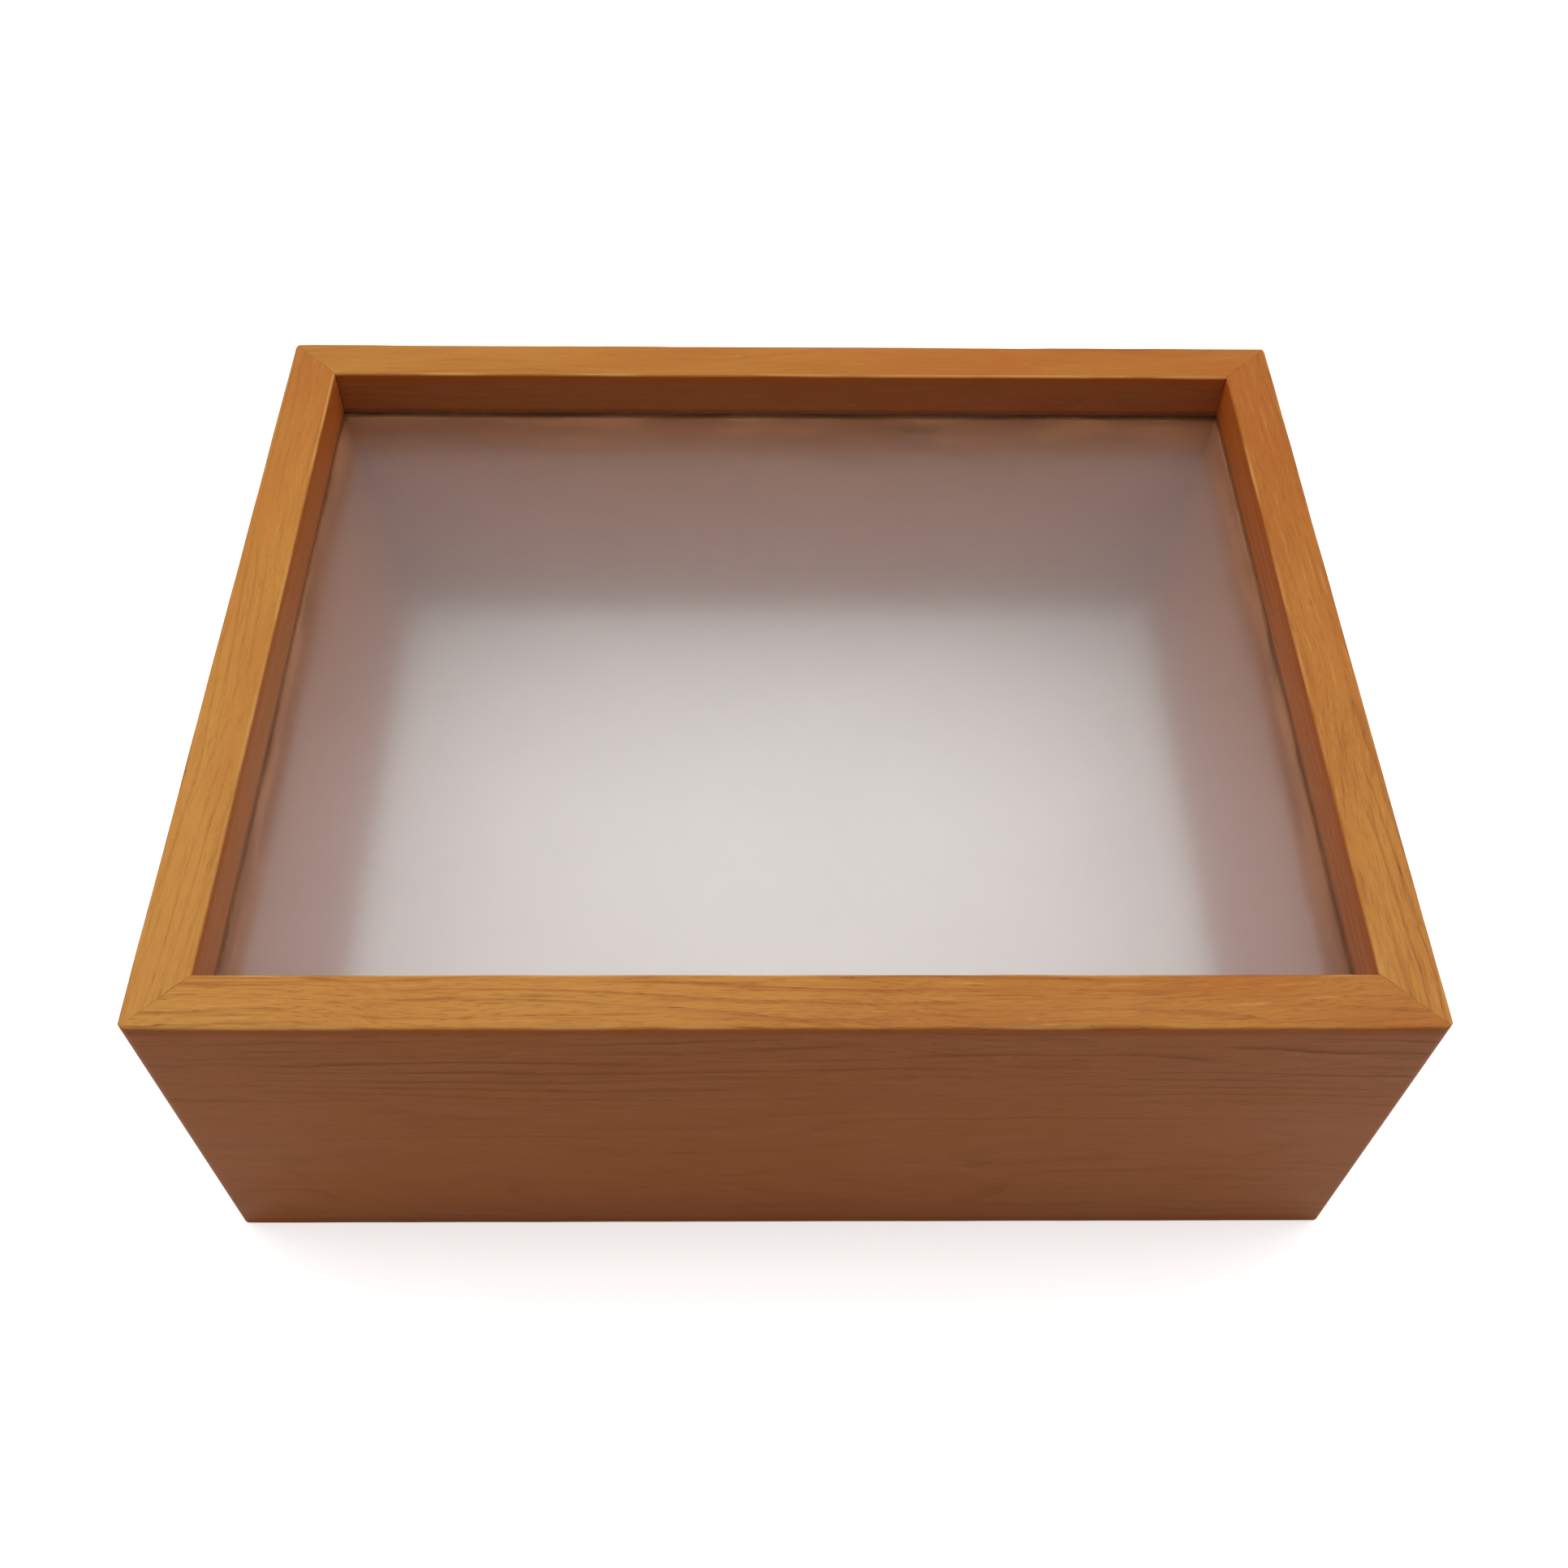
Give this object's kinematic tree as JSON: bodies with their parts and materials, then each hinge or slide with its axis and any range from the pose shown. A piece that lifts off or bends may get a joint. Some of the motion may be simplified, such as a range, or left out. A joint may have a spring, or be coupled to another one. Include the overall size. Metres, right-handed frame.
{
  "type": "deep glazed display frame",
  "caption": "Deep rectangular wooden display frame with mitred rails, a set-back hazy pane and a lift-out back held by turn buttons.",
  "frame": {"origin": "middle of the plane that the rails' back edges stand on", "axes": "+X along the width, +Y towards the top of the hung frame, +Z from the wall side out through the pane"},
  "size_m": [0.3048, 0.2414, 0.1143],
  "materials": {
    "rail_wood": "satin",
    "liner_wood": "satin",
    "non_glare_glass": "matte",
    "white_board": "matte",
    "fibreboard": "matte",
    "button_steel": "satin",
    "screw_steel": "satin",
    "hanger_steel": "satin",
    "nail_steel": "satin"
  },
  "bodies": {
    "back": {"back_panel": "fibreboard", "mount_board": "white_board"},
    "frame": {"front_rail": "rail_wood", "right_rail": "rail_wood", "rear_rail": "rail_wood", "left_rail": "rail_wood", "front_liner": "liner_wood", "right_liner": "liner_wood", "rear_liner": "liner_wood", "left_liner": "liner_wood", "corner_v_nails": "nail_steel", "glazing_pane": "non_glare_glass", "turn_button_screws": "screw_steel", "sawtooth_hanger": "hanger_steel", "hanger_nails": "nail_steel"},
    "button_front_left": {"turn_button_front_left": "button_steel"},
    "button_front_right": {"turn_button_front_right": "button_steel"},
    "button_right": {"turn_button_right": "button_steel"},
    "button_rear_right": {"turn_button_rear_right": "button_steel"},
    "button_rear_left": {"turn_button_rear_left": "button_steel"},
    "button_left": {"turn_button_left": "button_steel"}
  },
  "joints": [
    {"name": "frame_lift", "type": "slide", "parent": "back", "child": "frame", "axis": [0, 0, 1], "range_m": [0, 0.06]},
    {"name": "turn_front_left", "type": "hinge", "parent": "frame", "child": "button_front_left", "pos_m": [-0.0762, -0.1082, 0.009], "axis": [0, 0, 1], "range_deg": [0, 180]},
    {"name": "turn_front_right", "type": "hinge", "parent": "frame", "child": "button_front_right", "pos_m": [0.0762, -0.1082, 0.009], "axis": [0, 0, 1], "range_deg": [0, 180]},
    {"name": "turn_right", "type": "hinge", "parent": "frame", "child": "button_right", "pos_m": [0.13995, 0, 0.009], "axis": [0, 0, 1], "range_deg": [0, 180]},
    {"name": "turn_rear_right", "type": "hinge", "parent": "frame", "child": "button_rear_right", "pos_m": [0.0762, 0.1082, 0.009], "axis": [0, 0, 1], "range_deg": [0, 180]},
    {"name": "turn_rear_left", "type": "hinge", "parent": "frame", "child": "button_rear_left", "pos_m": [-0.0762, 0.1082, 0.009], "axis": [0, 0, 1], "range_deg": [0, 180]},
    {"name": "turn_left", "type": "hinge", "parent": "frame", "child": "button_left", "pos_m": [-0.13995, 0, 0.009], "axis": [0, 0, 1], "range_deg": [0, 180]}
  ]
}
